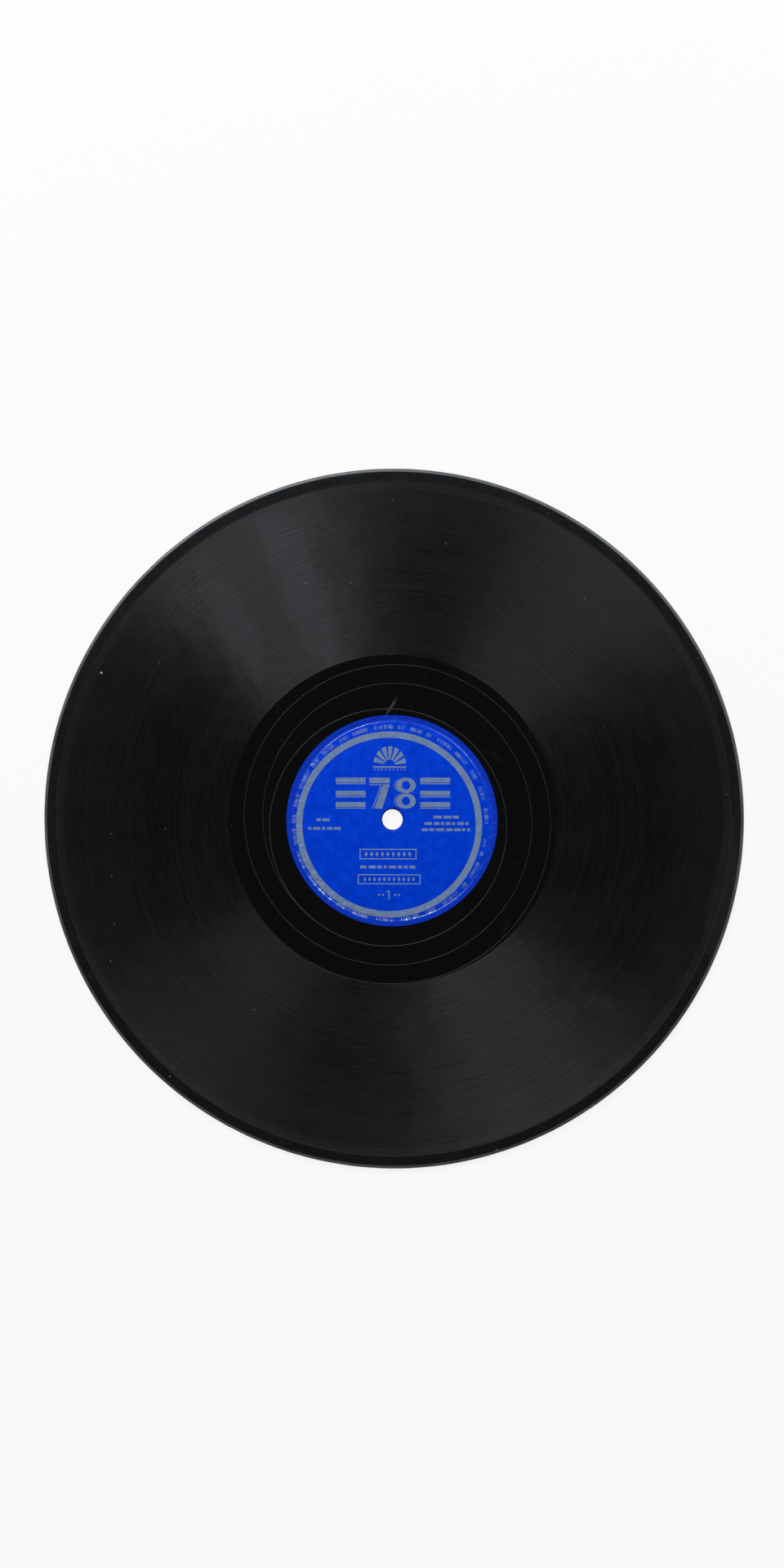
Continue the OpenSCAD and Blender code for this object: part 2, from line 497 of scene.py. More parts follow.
cutters = []
for on_side_b in (False, True):
    cutters += [
        cutter("lead_in", lead_in_path, *lead_in_size, GROOVED, on_side_b),
        cutter("run_out", run_out_path, *run_out_size, CUT, on_side_b),
        cutter("locked", lock_path, *lock_size, CUT, on_side_b, closed=True),
    ]
for solid in cutters:
    cut = disc.modifiers.new(solid.name, "BOOLEAN")
    cut.operation, cut.solver, cut.object = "DIFFERENCE", "MANIFOLD", solid
carved = bpy.data.meshes.new_from_object(disc.evaluated_get(bpy.context.evaluated_depsgraph_get()))
disc.modifiers.clear()
disc.data = carved
for solid in cutters:
    bpy.data.objects.remove(solid)
carved.shade_smooth()
carved.set_sharp_from_angle(angle=math.radians(32))
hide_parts("disc")
print(len(carved.polygons), "faces after the grooves are cut")

# %% [markdown]
# ## The labels
# A label is one sheet of paper, pressed so hard that it takes the form of what is under it. So
# its top and bottom both follow the ring channel, nearly one paper thickness apart. Its outer
# edge is a clean circle, but round the hole the spindle and the drill have torn it, most of all
# toward the top.

# %% Paper labels
torn = 0.04 + 0.05 * (1 + bumps(11, range(3, 40)))
torn += nicks(17, count=9, longest=1.6, deepest=0.45, radius=hole_r)
toward_top = np.clip(np.sin(ray + 0.2), 0, 1)
torn += 0.3 * toward_top * (1 + bumps(12, range(9, 30)))
under_gap = 0.03  # between the paper and its seat, so that their faces don't lie in each other

top_rings = [(hole_r + torn, face_z - 0.03), (hole_r + torn + 0.05, face_z),
             (hole_r + 1.2, face_z), (9.0, face_z)]
for r in np.linspace(ring_r - ring_w / 2, ring_r + ring_w / 2, 25):
    top_rings.append((r, face_z - ring_channel(r)))
paper_rim = off_centre(label_r - seat_gap, label_centre)
top_rings += [(paper_rim - 0.15, face_z), (paper_rim - 0.02, face_z), (paper_rim, face_z - 0.02)]
under_rings = [(r, z - label_t + under_gap) for r, z in top_rings[::-1]]
label_rings = top_rings + under_rings

labels = {}
for side, rings in {"a": label_rings, "b": turned_over(label_rings)[::-1]}.items():
    mesh = lathe(f"paper_label_{side}", rings, [0] * len(rings))
    mesh.shade_smooth()
    mesh.set_sharp_from_angle(angle=math.radians(40))
    labels[side] = piece(f"paper_label_{side}", mesh)
    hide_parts(f"label_side_{side}")
    print(f"label {side}: {len(mesh.polygons)} faces")

# %% [markdown]
# ## The print
# The silver print sits on the paper and follows it through the ring channel. It could be painted
# in the material, but a mask for each bar and numeral is clumsy in nodes. Here every printed
# shape is a small grid of points, laid on the paper's relief and given a hair of thickness.
# Nothing printed names anything: there are only bars, boxes and dashes, with the playing speed,
# 78, in the middle, and the number of the side at the foot. As in the photograph, neither the
# print nor the ticks in its margin are centred on the hole, and each has a centre of its own.

# %% Shapes of the print
print_centre, margin_centre = np.array([-1.2, -1.79]), np.array([-0.8, -1.37])
RULE = 0.4  # thickness of a printed rule


def slab(low_left, low_right, high_left, high_right):
    """A patch with four corners. A shape is a grid of points, and whether it closes on itself."""
    return np.array([[low_left, low_right], [high_left, high_right]], float), False


def bar(left, bottom, right_side, top):
    return slab((left, bottom), (right_side, bottom), (left, top), (right_side, top))


def diamond(x, y, half_w, half_h):
    return slab((x, y - half_h), (x + half_w, y), (x - half_w, y), (x, y + half_h))


def box_outline(left, bottom, right_side, top):
    """A box drawn with four rules that meet without overlapping."""
    return [bar(left, bottom, right_side, bottom + RULE), bar(left, top - RULE, right_side, top),
            bar(left, bottom + RULE, left + RULE, top - RULE),
            bar(right_side - RULE, bottom + RULE, right_side, top - RULE)]


def dashes(left, right_side, y, height, seed):
    """A row of dashes of mixed lengths."""
    rng = np.random.default_rng(seed)
    row, x, shortest_end = [], left, 0.5
    while x < right_side - shortest_end:
        end = min(x + rng.uniform(1.0, 3.0), right_side)
        row.append(bar(x, y - height / 2, end, y + height / 2))
        x = end + rng.uniform(0.45, 0.8)
    return row


print("a rule is", RULE, "mm thick, and a box has", len(box_outline(0, 0, 9, 9)), "of them")

# %% Round shapes
def sweep(start, end, steps):
    """The angles of an arc, given in degrees, and whether it closes to a full turn."""
    a = np.radians(np.linspace(start, end, steps))
    closed = end - start == 360.0
    return (a[:-1] if closed else a), closed


def oval(x, y, inner, outer, start=0.0, end=360.0, steps=49):
    """A piece of an oval ring. inner and outer are the half widths and half heights of its
    edges."""
    a, closed = sweep(start, end, steps)
    edges = [np.stack([x + w * np.cos(a), y + h * np.sin(a)], axis=-1) for w, h in (inner, outer)]
    return np.array(edges), closed


def round_print(radii, steps, start=0.0, end=360.0, centre=print_centre):
    """A printed ring or part of one, in fine enough steps to follow the relief."""
    a, closed = sweep(start, end, steps)
    spread = np.asarray(radii)[:, None, None] * np.stack([np.cos(a), np.sin(a)], axis=-1)
    return centre + spread, closed


def margin_ticks(seed):
    """Fine upright ticks in groups, round the margin of the label."""
    rng = np.random.default_rng(seed)
    tick_w, second_stroke, last_gap = 0.2, 0.36, 6
    radii = np.linspace(33.9, 35.3, 16)
    to_degrees = 180 / math.pi / radii[0]
    ticks, place = [], 0.0
    while place < 360 - last_gap:
        for _ in range(rng.integers(2, 10)):
            reach = radii[: rng.integers(14, 17)]
            for shift in (0.0, second_stroke)[: rng.integers(1, 3)]:
                start = place + shift * to_degrees
                ticks.append(round_print(reach, 2, start, start + tick_w * to_degrees,
                                         margin_centre))
            place += rng.uniform(0.66, 0.8) * to_degrees
        place += rng.uniform(1.4, 3.2) * to_degrees
    return ticks


wide_ring = [round_print(np.linspace(31.06, 33.35, 24), 481)]
print("the wide ring and", len(margin_ticks(2)), "ticks round the margin")

# %% Numerals and ornament
def seven_and_eight():
    """The speed in broad strokes with a thin line at their left, as a sign painter shades them."""
    strokes = [bar(-8.3, 13.0, -0.9, 15.0), bar(-8.3, 12.3, -3.4, 12.6),
               slab((-6.4, 3.9), (-3.6, 3.9), (-3.5, 12.6), (-0.9, 12.6)),
               slab((-7.3, 3.9), (-6.9, 3.9), (-4.3, 12.1), (-3.95, 12.1))]
    for y, half_h in ((12.25, 2.75), (6.65, 2.75)):
        strokes.append(oval(4.9, y, (1.5, 1.55), (3.5, half_h)))
        strokes.append(oval(4.9, y, (3.85, half_h), (4.2, half_h), 110, 250, 25))
    return strokes


def speed_block():
    """The numerals between two sets of three bars, each with a thin rule under it."""
    bar_h, rule_drop = 1.7, 0.65
    shapes = seven_and_eight()
    for left, right_side in ((-20.3, -9.6), (10.0, 20.7)):
        for y in (13.3, 8.6, 4.55):
            rule_y = y - rule_drop
            shapes += [bar(left, y, right_side, y + bar_h),
                       bar(left, rule_y, right_side, rule_y + RULE)]
    return shapes


def rising_fan():
    """Seven flat rays over a base line and a row of small diamonds."""
    shapes = [bar(-6.9, 18.5, 5.0, 19.1)]
    for k in range(7):
        start = 6 + k * 24.5
        shapes.append(oval(-0.95, 19.5, (1.9, 1.9), (5.9, 6.8), start, start + 17, 5))
    shapes += [diamond(-6.4 + k * 1.36, 17.85, 0.34, 0.34) for k in range(9)]
    return shapes


def side_number(number):
    """The number of the side, 1 or 2, between small diamonds."""
    x, low, high = -1.2, -28.6, -25.4
    if number == 1:
        flag = slab((x - 0.85, high - 0.75), (x - 0.3, high - 0.6),
                    (x - 0.85, high - 0.4), (x - 0.3, high))
        shapes = [bar(x - 0.25, low, x + 0.25, high), flag]
    else:
        neck = slab((x - 0.85, low + 0.45), (x - 0.3, low + 0.45),
                    (x + 0.3, high - 1.3), (x + 0.8, high - 1.15))
        hook = oval(x, high - 0.85, (0.45, 0.45), (0.85, 0.85), -15, 180, 13)
        shapes = [bar(x - 0.85, low, x + 0.85, low + 0.4), neck, hook]
    middle_y = (low + high) / 2
    return shapes + [diamond(x + way * gap, middle_y, 0.45, 0.45)
                     for way in (-1, 1) for gap in (2.2, 3.6)]


def fields(seed):
    """Boxes of diamonds in the lower half, and rows of dashes between them and at each side."""
    shapes = box_outline(-11.8, -14.3, 8.7, -10.5) + box_outline(-12.4, -23.2, 10.1, -19.6)
    shapes += [diamond(-9.4 + k * 1.95, -12.4, 0.62, 0.95) for k in range(9)]
    shapes += [diamond(-9.9 + k * 1.75, -21.4, 0.5, 0.85) for k in range(11)]
    rows = [(-27.2, -21.6, -0.1), (-30.2, -17.7, -3.2), (14.8, 23.8, 0.9), (11.5, 27.3, -1.4),
            (10.6, 28.0, -3.6), (-11.5, 9.0, -17.0)]
    for k, (left, right_side, y) in enumerate(rows):
        shapes += dashes(left, right_side, y, 1.0, seed + k)
    return shapes


print(len(speed_block()), "shapes in the speed block,", len(rising_fan()), "in the fan")

# %% [markdown]
# Each grid becomes a sheet of faces on the paper's relief. Solidify then gives all sheets their
# thickness at once, downward into the paper, so that no gap shows at their edges.

# %% Lay the print on the labels
ink_proud, ink_t = 0.012, 0.02


def print_on_label(name, shapes, on_side_b):
    """One mesh from all the printed shapes of a label."""
    points, faces = [], []
    for grid, closed in shapes:
        rows, columns = grid.shape[:2]
        first = len(points)
        x, y = grid[..., 0].ravel(), grid[..., 1].ravel()
        z = face_z - ring_channel(np.hypot(x, y)) + ink_proud
        points += zip(x, -y, top_z - z) if on_side_b else zip(x, y, z)
        for i in range(rows - 1):
            for k in range(columns if closed else columns - 1):
                here, there = first + i * columns, first + (i + 1) * columns
                after = (k + 1) % columns
                faces.append((here + k, here + after, there + after, there + k))
    mesh = bpy.data.meshes.new(name)
    mesh.from_pydata((np.array(points) * MM).tolist(), [], faces)
    made = piece(name, mesh)
    facing = bmesh.new()
    facing.from_mesh(mesh)
    upright = -1 if on_side_b else 1
    facing.normal_update()
    wrong_way = [face for face in facing.faces if face.normal.z * upright < 0]
    bmesh.ops.reverse_faces(facing, faces=wrong_way)
    facing.to_mesh(mesh)
    facing.free()
    thick = made.modifiers.new("thickness", "SOLIDIFY")
    thick.thickness, thick.offset = ink_t * MM, -1
    return made


prints = {}
for side, number, seed in (("a", 1, 2), ("b", 2, 31)):
    shapes = wide_ring + margin_ticks(seed) + speed_block() + rising_fan()
    shapes += fields(seed) + side_number(number)
    prints[side] = print_on_label(f"label_print_{side}", shapes, side == "b")
    print(f"print {side}: {len(shapes)} shapes, {len(prints[side].data.polygons)} faces")

# %% [markdown]
# ## Effects that several finishes share
# Wear looks alike on every part of a record: fine circles from the grooves and from wiping,
# hairline scratches, specks of dust, smears, puckers in the paper and the grain of the stuff
# itself. The smear group also shapes the patches of painted sheen. Each of these is built once as
# a node group with named inputs, and placed in each material with its own values. A group puts
# out masks and numbers only. What they do is up to the material.

# %% Helpers for node groups
def new_effect(name, output, **inputs):
    """An empty group and its sockets. It always takes a position. inputs are the others with
    their defaults, a tuple for a vector, and _ in a name stands for a space."""
    tree = bpy.data.node_groups.new(name, "ShaderNodeTree")
    for label, default in {"Position": (0.0, 0.0, 0.0), **inputs}.items():
        kind = "NodeSocketVector" if isinstance(default, tuple) else "NodeSocketFloat"
        socket = tree.interface.new_socket(label.replace("_", " "), in_out="INPUT",
                                           socket_type=kind)
        socket.default_value = default
    tree.interface.new_socket(output, in_out="OUTPUT", socket_type="NodeSocketFloat")
    given = tree.nodes.new("NodeGroupInput").outputs
    print(f"effect {name}: takes {', '.join(s.name for s in given if s.name)}, gives {output}")
    return tree, given, tree.nodes.new("NodeGroupOutput").inputs[0]


def effect(tree, group, position, **values):
    """Places a group in a material and gives its output. Values go to the inputs of those
    names, with _ for a space."""
    placed = put(tree, "ShaderNodeGroup", node_tree=bpy.data.node_groups[group])
    tree.links.new(position, placed.inputs["Position"])
    for name, value in values.items():
        placed.inputs[name.replace("_", " ")].default_value = value
    return placed.outputs[0]


def vectors(tree, operation, a, b):
    """One step of arithmetic on vectors."""
    return put(tree, "ShaderNodeVectorMath", {0: a, 1: b}, operation=operation).outputs[0]


def noise(tree, place, **values):
    """Blender's noise, one wave to a unit where no scale is given."""
    return put(tree, "ShaderNodeTexNoise", {"Vector": place, "Scale": 1.0, **values}).outputs[0]


def from_above(tree, position):
    """A position with its height left out."""
    return vectors(tree, "MULTIPLY", position, (1.0, 1.0, 0.0))


def stretched(tree, position, x_unit, y_unit):
    """A position counted in its own unit along X and along Y, with its height left out."""
    parts = put(tree, "ShaderNodeSeparateXYZ", {0: position}).outputs
    x, y = figure(tree, "DIVIDE", parts["X"], x_unit), figure(tree, "DIVIDE", parts["Y"], y_unit)
    return put(tree, "ShaderNodeCombineXYZ", {"X": x, "Y": y}).outputs[0]


# %% Distance from the axis
tree, given, result = new_effect("from_axis", "Distance")
tree.links.new(vector_length(tree, from_above(tree, given["Position"])), result)

# %% Circles round the axis
tree, given, result = new_effect("circles", "Streak", Per_mm=1.0, Drift=1.0)
flat = from_above(tree, given["Position"])
unit = put(tree, "ShaderNodeVectorMath", {0: flat}, operation="NORMALIZE").outputs[0]
around = put(tree, "ShaderNodeVectorMath", {0: unit, "Scale": given["Drift"]}, operation="SCALE")
parts = put(tree, "ShaderNodeSeparateXYZ", {0: around.outputs[0]}).outputs
fine = figure(tree, "MULTIPLY", vector_length(tree, flat), given["Per mm"])
place = put(tree, "ShaderNodeCombineXYZ", {"X": fine, "Y": parts["X"], "Z": parts["Y"]})
tree.links.new(noise(tree, place.outputs[0], Detail=4.0, Roughness=0.6), result)

# %% Hairline scratches
tree, given, result = new_effect("hairlines", "Mask", Angle=0.0, Length=20.0, Gap=2.0, Width=0.02)
turned = put(tree, "ShaderNodeVectorRotate",
             {"Vector": given["Position"], "Angle": given["Angle"]}, rotation_type="Z_AXIS")
place = stretched(tree, turned.outputs[0], given["Length"], given["Gap"])
field = noise(tree, place, Detail=2.0)
away = figure(tree, "ABSOLUTE", figure(tree, "SUBTRACT", field, 0.5))
away = figure(tree, "DIVIDE", away, given["Width"], clamp=True)
line = figure(tree, "SUBTRACT", 1.0, away, clamp=True)
here_and_there = fade(tree, noise(tree, place, Scale=1.7, Detail=0.0), 0.5, 0.62)
tree.links.new(figure(tree, "MULTIPLY", line, here_and_there), result)

# %% Specks of dust
tree, given, result = new_effect("dust", "Mask", Spacing=10.0, Share=0.3, Size=0.3)
place = vectors(tree, "DIVIDE", given["Position"], given["Spacing"])
cells = put(tree, "ShaderNodeTexVoronoi", {"Vector": place, "Scale": 1.0},
            voronoi_dimensions="2D").outputs
chance = put(tree, "ShaderNodeSeparateColor", {0: cells["Color"]}).outputs
away = figure(tree, "MULTIPLY", cells["Distance"], given["Spacing"])
reach = figure(tree, "MULTIPLY", given["Size"], figure(tree, "ADD", chance["Green"], 0.3))
away = figure(tree, "DIVIDE", away, reach, clamp=True)
speck = fade(tree, figure(tree, "SUBTRACT", 1.0, away, clamp=True), 0.0, 0.4)
chosen = figure(tree, "LESS_THAN", chance["Red"], given["Share"])
tree.links.new(figure(tree, "MULTIPLY", speck, chosen), result)

# %% A patch in one place, for smears and for painted sheen
tree, given, result = new_effect("smear_and_sheen_patch", "Mask", Centre=(0.0, 0.0, 0.0), Angle=0.0,
                                 Length=10.0, Width=2.0, Break_up=0.5)
near = vectors(tree, "SUBTRACT", given["Position"], given["Centre"])
turned = put(tree, "ShaderNodeVectorRotate", {"Vector": near, "Angle": given["Angle"]},
             rotation_type="Z_AXIS", invert=True)
place = stretched(tree, turned.outputs[0], given["Length"], given["Width"])
cloud = noise(tree, place, Scale=5.0, Detail=5.0, Roughness=0.6)
ragged = figure(tree, "MULTIPLY", figure(tree, "SUBTRACT", cloud, 0.5), given["Break up"])
away = figure(tree, "ADD", vector_length(tree, place), ragged)
tree.links.new(fade(tree, away, 0.5, 0.2), result)

# %% Grain
tree, given, result = new_effect("grain", "Grain", Size=1.0, Roughness=0.6)
place = vectors(tree, "DIVIDE", given["Position"], given["Size"])
tree.links.new(noise(tree, place, Detail=5.0, Roughness=given["Roughness"]), result)

# %% Puckers toward the edge of a sheet
tree, given, result = new_effect("puckers", "Height", Size=2.0, Start=30.0, Full=35.0,
                                 Height=0.1)
place = vectors(tree, "DIVIDE", given["Position"], given["Size"])
folds = figure(tree, "SUBTRACT", noise(tree, place, Detail=1.0, Roughness=0.4), 0.5)
away = vector_length(tree, from_above(tree, given["Position"]))
folds = figure(tree, "MULTIPLY", folds, fade(tree, away, given["Start"], given["Full"]))
tree.links.new(figure(tree, "MULTIPLY", folds, given["Height"]), result)

# %% [markdown]
# ## Finishes
# All finishes read the same coordinates, the object's own, in millimetres. `new_finish` starts a
# material with them and ends it with one Principled shader. A value that is the same all over
# goes straight onto the shader, and only what changes over the surface is wired. `total` adds up
# effects by weight, which is how most of the roughnesses and reliefs are made.

# %% Helpers for materials
def new_finish(name, **settings):
    """A material with a Principled shader. Gives the material, its tree, the shader and the
    position in mm."""
    material = bpy.data.materials.new(name)
    material.use_nodes = True
    tree = material.node_tree
    tree.nodes.clear()
    feeds = {key.replace("_", " "): value for key, value in settings.items()}
    shader = put(tree, "ShaderNodeBsdfPrincipled", feeds)
    put(tree, "ShaderNodeOutputMaterial", {"Surface": shader.outputs[0]})
    own = put(tree, "ShaderNodeTexCoord").outputs["Object"]
    position = put(tree, "ShaderNodeVectorMath", {0: own, 3: 1 / MM}, operation="SCALE").outputs[0]
    print("finish", name)
    return material, tree, shader, position


def total(tree, start, *parts):
    """start plus every part times its weight. Each part is (output, weight)."""
    for part, weight in parts:
        start = figure(tree, "ADD", start, figure(tree, "MULTIPLY", part, weight))
    return start


def wire(tree, shader, rough, colour):
    """Wires roughness and colour to the shader."""
    tree.links.new(rough, shader.inputs["Roughness"])
    tree.links.new(colour, shader.inputs["Base Color"])


def raise_surface(tree, shader, height, distance):
    """Feeds a height, in units of distance in mm, to the shader's normal."""
    feeds = {"Height": height, "Strength": 1.0, "Distance": distance * MM}
    tree.links.new(put(tree, "ShaderNodeBump", feeds).outputs[0], shader.inputs["Normal"])


COOL, WARM, GROUND = (0.94, 1.0, 1.0), (0.88, 1.0, 0.84), (0.95, 1.0, 0.94)
# Where a patch of painted sheen lies near the right edge: paler colour on the grooved band and the
# rim.
sheen_patch_shape = {"Centre": (118.5, -24.0, 0.0), "Angle": 1.37, "Length": 70.0, "Width": 11.0,
                "Break_up": 0.9}
print("three tints of black: cool, warm and the grey of a ground edge")

# %% [markdown]
# ### The grooved band
# Across a groove the surface turns through every slope, and along it the wall is smooth. That is
# what an anisotropic shader describes: rough in one direction, sharp in the other. A Tangent
# node set to radial gives it the direction round the axis. The rays of light then appear by
# themselves wherever the lamps are, also in other views. Loud and quiet passages show as faint
# circles. The shellac carries dust and a bit of lint near the left edge. Two paler streaks at
# the upper left and a paler patch near the right edge are painted sheen. The blank lead in
# beyond the band is paler, and dirt has gathered at the foot of the rim.

# %% Grooved shellac: what lies on it
grooved, tree, shader, position = new_finish(
    "grooved_shellac", Anisotropic=0.94, Anisotropic_Rotation=0.25, Specular_IOR_Level=0.25)
round_axis = put(tree, "ShaderNodeTangent", direction_type="RADIAL", axis="Z").outputs[0]
tree.links.new(round_axis, shader.inputs["Tangent"])
away = effect(tree, "from_axis", position)
passages = effect(tree, "circles", position, Per_mm=0.3, Drift=0.7)
turns = effect(tree, "circles", position, Per_mm=1.5, Drift=0.6)
wiping = effect(tree, "circles", position, Per_mm=1.3, Drift=11.0)
cloudy = effect(tree, "grain", position, Size=20.0, Roughness=0.4)
wiped = total(tree, 0.0, (wiping, 0.6), (cloudy, 0.4))
# The patch near the right edge is painted sheen.
patch = effect(tree, "smear_and_sheen_patch", position, **sheen_patch_shape)
lint = effect(tree, "smear_and_sheen_patch", position, Centre=(-104.65, 52.55, 0.0), Length=1.2, Width=1.0,
              Break_up=0.2)
specks = effect(tree, "dust", position, Spacing=17.0, Share=0.2, Size=0.14)
specks = figure(tree, "MAXIMUM", specks, lint)

# Two streaks of painted sheen at the upper left: paler colour laid along the lamps' brightest
# rays.
sheen_streaks = {(-34.0, 86.0, 0.0): (1.93, 96.0, 20.0, 1.0),
                 (-57.5, 69.5, 0.0): (1.98, 64.0, 18.0, 0.9)}
painted_sheen = 0.0
for centre, (angle, length, width, share) in sheen_streaks.items():
    sheen_streak = effect(tree, "smear_and_sheen_patch", position, Centre=centre, Angle=angle, Length=length,
                    Width=width, Break_up=0.7)
    painted_sheen = figure(tree, "MAXIMUM", painted_sheen, figure(tree, "MULTIPLY", sheen_streak, share))
lead_in = fade(tree, away, 117.5, 119.0)
outer_turns = fade(tree, away, 85.0, 118.0)
rim_dirt = fade(tree, away, rim_foot_r - guard, rim_foot_r)
# These strokes are the streaks of painted sheen.
print(len(sheen_streaks), "strokes of a cloth")

# %% Grooved shellac: roughness, colour and relief
rough = total(tree, 0.225, (wiped, 0.27), (passages, 0.10), (turns, 0.05), (lead_in, 0.05),
              (rim_dirt, 0.4), (specks, 0.3))
# Paler toward the lead in and the rim, and paler again in the patch near the right edge, which is
# painted sheen.
haze_and_sheen = total(tree, 0.0, (outer_turns, 0.3), (lead_in, 0.55))
haze_and_sheen = figure(tree, "ADD", haze_and_sheen, figure(tree, "MULTIPLY", patch, 0.7), clamp=True)
colour = blend(tree, fade(tree, wiped, 0.38, 0.62), grey(0.0036, WARM), grey(0.0068, WARM))
colour = blend(tree, fade(tree, turns, 0.50, 0.66, 0.0, 0.6), colour, grey(0.009, WARM))
colour = blend(tree, fade(tree, turns, 0.48, 0.34, 0.0, 0.3), colour, grey(0.0010, WARM))
colour = blend(tree, haze_and_sheen, colour, grey(0.013))
# Painted sheen: the two streaks at the upper left are paler grey in the colour.
colour = blend(tree, figure(tree, "MULTIPLY", painted_sheen, 0.75), colour, grey(0.016))
colour = blend(tree, specks, colour, grey(0.4))
wire(tree, shader, rough, colour)
relief = total(tree, 0.0, (turns, 0.12), (wiping, 0.09), (cloudy, 0.4))
raise_surface(tree, shader, relief, 1.0)
print(len(tree.nodes), "nodes in the grooved shellac")

# %% [markdown]
# ### Blank shellac
# Inside the band nothing was ever cut, so the stamper's polish is left: a black mirror. It shows
# only a few hairlines and a thin rusty smear above the label.

# %% Polished shellac
polished, tree, shader, position = new_finish("polished_shellac", IOR=1.52)
scratches = effect(tree, "hairlines", position, Angle=0.6, Length=34.0, Gap=8.0, Width=0.004)
crossing = effect(tree, "hairlines", position, Angle=2.1, Length=26.0, Gap=11.0, Width=0.004)
marks = figure(tree, "MAXIMUM", scratches, crossing)
fog = effect(tree, "grain", position, Size=9.0, Roughness=0.7)
specks = effect(tree, "dust", position, Spacing=12.0, Share=0.2, Size=0.14)
smear = effect(tree, "smear_and_sheen_patch", position, Centre=(-0.3, 40.5, 0.0), Angle=0.98, Length=9.0,
               Width=1.4, Break_up=0.9)
dirt = figure(tree, "MAXIMUM", smear, specks)
rusty = (0.040, 0.018, 0.012, 1.0)
rough = total(tree, 0.10, (fog, 0.07), (marks, 0.12), (dirt, 0.4))
colour = blend(tree, figure(tree, "MULTIPLY", marks, 0.3), grey(0.0016), grey(0.010))
colour = blend(tree, figure(tree, "MULTIPLY", smear, 0.6), colour, rusty)
colour = blend(tree, specks, colour, grey(0.15))
wire(tree, shader, rough, colour)
raise_surface(tree, shader, fog, 0.02)

# %% [markdown]
# ### Rim and edge
# The raised rim is what touches when records are stacked, and fingers hold it, so it has lost
# its polish and carries fine scuffs. The paler patch of painted sheen runs on over it. The edge
# was ground round after pressing and never polished: dull, paler and grainy, because grinding
# opens the mineral filler in the compound.

# %% Scuffed rim
rim, tree, shader, position = new_finish("scuffed_rim", IOR=1.52)
scuffs = effect(tree, "hairlines", position, Angle=0.9, Length=6.0, Gap=1.2, Width=0.03)
handled = effect(tree, "grain", position, Size=7.0, Roughness=0.7)
turning = effect(tree, "circles", position, Per_mm=3.0, Drift=6.0)
specks = effect(tree, "dust", position, Spacing=9.0, Share=0.2, Size=0.25)
patch = effect(tree, "smear_and_sheen_patch", position, **sheen_patch_shape)
worn = figure(tree, "MULTIPLY", figure(tree, "ADD", handled, turning), 0.5)
rough = total(tree, 0.18, (handled, 0.10))
colour = blend(tree, fade(tree, worn, 0.35, 0.65), grey(0.0042, COOL), grey(0.0070, COOL))
colour = blend(tree, figure(tree, "MULTIPLY", scuffs, 0.5), colour, grey(0.02))
# Painted sheen: the patch near the right edge is paler grey in the colour.
colour = blend(tree, figure(tree, "MULTIPLY", patch, 0.8), colour, grey(0.014))
colour = blend(tree, specks, colour, grey(0.25))
wire(tree, shader, rough, colour)
raise_surface(tree, shader, worn, 0.03)

# %% Ground edge
edge, tree, shader, position = new_finish("ground_edge", IOR=1.52, Specular_IOR_Level=0.8)
grit = effect(tree, "grain", position, Size=0.5, Roughness=0.75)
uneven = effect(tree, "grain", position, Size=12.0, Roughness=0.5)
specks = effect(tree, "dust", position, Spacing=6.0, Share=0.3, Size=0.3)
shade = fade(tree, total(tree, 0.0, (grit, 0.4), (uneven, 0.6)), 0.35, 0.65)
colour = blend(tree, shade, grey(0.037, GROUND), grey(0.088, GROUND))
colour = blend(tree, specks, colour, grey(0.2))
wire(tree, shader, total(tree, 0.3, (grit, 0.2)), colour)
raise_surface(tree, shader, grit, 0.04)

# %% [markdown]
# ### Walls of the single grooves
# Needles have worn the run out and the locked groove, and dust stays in them. So their walls are
# duller and paler than the mirror that they are cut in. A dull wall also spreads a lamp's
# reflection over more of the groove, which keeps the thin line unbroken.

# %% Groove walls
walls, tree, shader, position = new_finish("groove_walls", IOR=1.52)
dull = effect(tree, "grain", position, Size=9.0, Roughness=0.5)
colour = blend(tree, fade(tree, dull, 0.3, 0.7), grey(0.009, COOL), grey(0.018, COOL))
wire(tree, shader, total(tree, 0.42, (dull, 0.1)), colour)

disc_materials = {BLANK: polished, GROOVED: grooved, RIM: rim, EDGE: edge, CUT: walls}
for place, material in disc_materials.items():
    disc.data.materials[place] = material
print("disc finishes:", ", ".join(material.name for material in disc.data.materials))

# %% [markdown]
# ### Paper and ink
# The paper is dyed a deep blue and pressed so hard that it has a slight gloss, which shows where
# it bends into the ring channel. Its colour is a little uneven, with short fibres, and darker in
# the margin outside the ring channel. Toward its edge it has puckered, and the ink with
# it, which breaks the light there into glints. The ink is silver: part metal, part binder.

# %% Label paper
margin_puckers = {"Size": 2.1, "Start": 32.4, "Full": 33.6, "Height": 0.42}
deep_dye, pale_dye = (0.0, 0.039, 0.55, 1.0), (0.0, 0.061, 0.73, 1.0)
fibre_blue, strand_blue = (0.0, 0.03, 0.5, 1.0), (0.004, 0.08, 0.75, 1.0)
margin_blue, dark_speck = (0.004, 0.036, 0.46, 1.0), (0.02, 0.02, 0.05, 1.0)

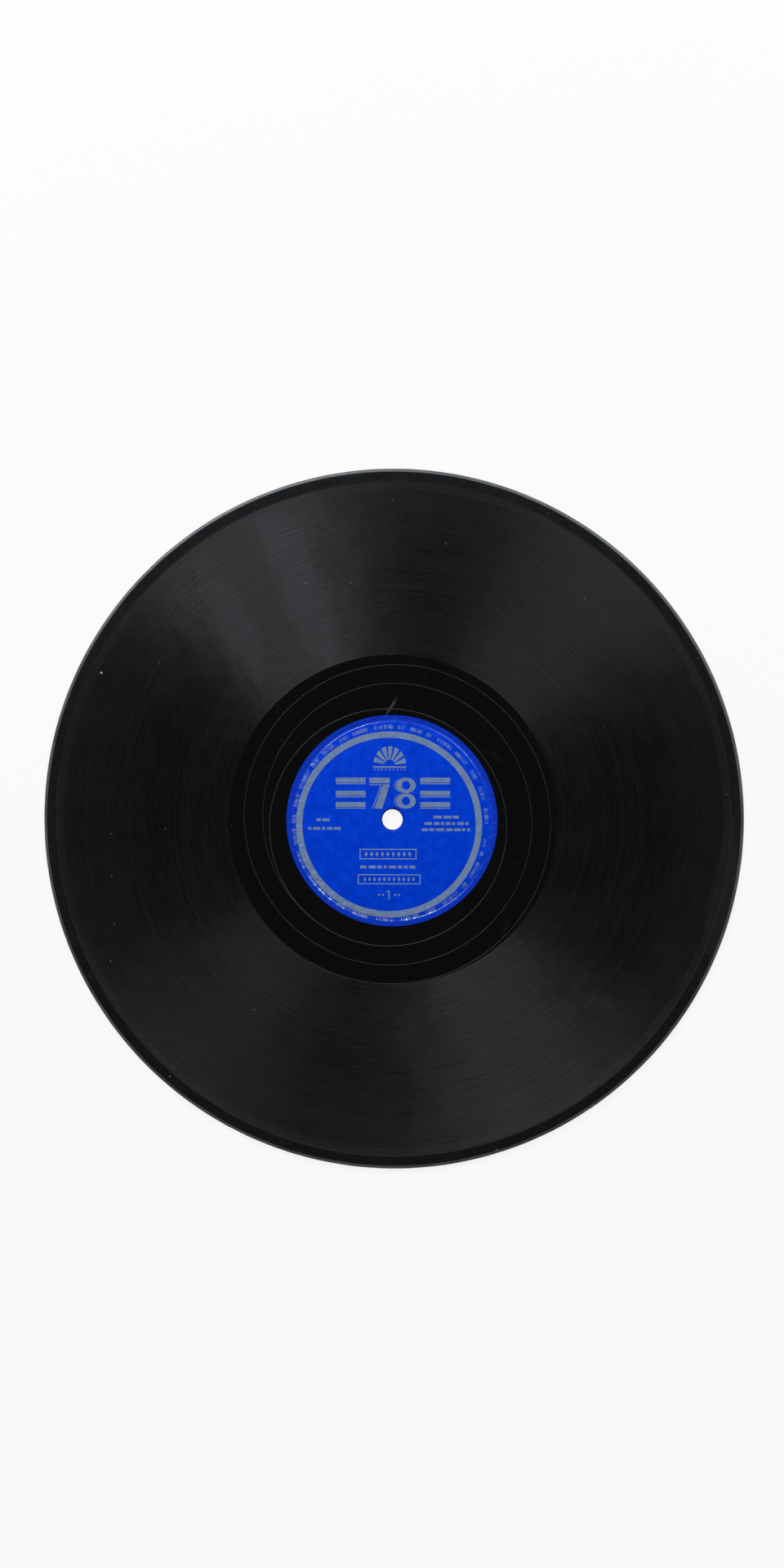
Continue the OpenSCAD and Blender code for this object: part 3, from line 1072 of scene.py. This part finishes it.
paper, tree, shader, position = new_finish(
    "blue_paper", Specular_IOR_Level=0.12, Coat_Roughness=0.22)
fibre = effect(tree, "grain", position, Size=0.35, Roughness=0.7)
mottle = effect(tree, "grain", position, Size=3.0, Roughness=0.7)
strands = effect(tree, "hairlines", position, Angle=0.3, Length=2.2, Gap=0.5, Width=0.05)
specks = effect(tree, "dust", position, Spacing=7.0, Share=0.2, Size=0.2)
away = effect(tree, "from_axis", position)
margin = fade(tree, away, ring_r - 0.5, ring_r + 0.5, 0.0, 0.8)
colour = blend(tree, fade(tree, mottle, 0.3, 0.7), deep_dye, pale_dye)
colour = blend(tree, figure(tree, "MULTIPLY", fibre, 0.25), colour, fibre_blue)
colour = blend(tree, figure(tree, "MULTIPLY", strands, 0.25), colour, strand_blue)
# The margin outside the ring channel is a darker blue all round.
colour = blend(tree, margin, colour, margin_blue)
colour = blend(tree, figure(tree, "MULTIPLY", specks, 0.5), colour, dark_speck)
wire(tree, shader, total(tree, 0.21, (mottle, 0.12)), colour)
from_channel = figure(tree, "ABSOLUTE", figure(tree, "SUBTRACT", away, ring_r))
burnished = fade(tree, from_channel, ring_w / 2, ring_w / 2 - 0.2)
tree.links.new(burnished, shader.inputs["Coat Weight"])
puckers = effect(tree, "puckers", position, **margin_puckers)
raise_surface(tree, shader, total(tree, puckers, (fibre, 0.004)), 1.0)

# %% Silver ink
deep_silver, pale_silver = (0.30, 0.42, 0.68, 1.0), (0.38, 0.515, 0.77, 1.0)
paper_showing = (0.05, 0.10, 0.45, 1.0)

ink, tree, shader, position = new_finish("silver_ink", Metallic=0.5)
flecks = effect(tree, "grain", position, Size=0.15, Roughness=0.7)
thin = effect(tree, "grain", position, Size=1.6, Roughness=0.7)
rubbed = effect(tree, "hairlines", position, Angle=0.5, Length=9.0, Gap=1.5, Width=0.02)
colour = blend(tree, fade(tree, thin, 0.35, 0.65), deep_silver, pale_silver)
colour = blend(tree, figure(tree, "MULTIPLY", rubbed, 0.4), colour, paper_showing)
wire(tree, shader, total(tree, 0.15, (flecks, 0.12)), colour)
puckers = effect(tree, "puckers", position, **margin_puckers)
raise_surface(tree, shader, total(tree, puckers, (flecks, 0.003)), 1.0)

for side in ("a", "b"):
    labels[side].data.materials.append(paper)
    prints[side].data.materials.append(ink)
print("label finishes:", paper.name, "and", ink.name)
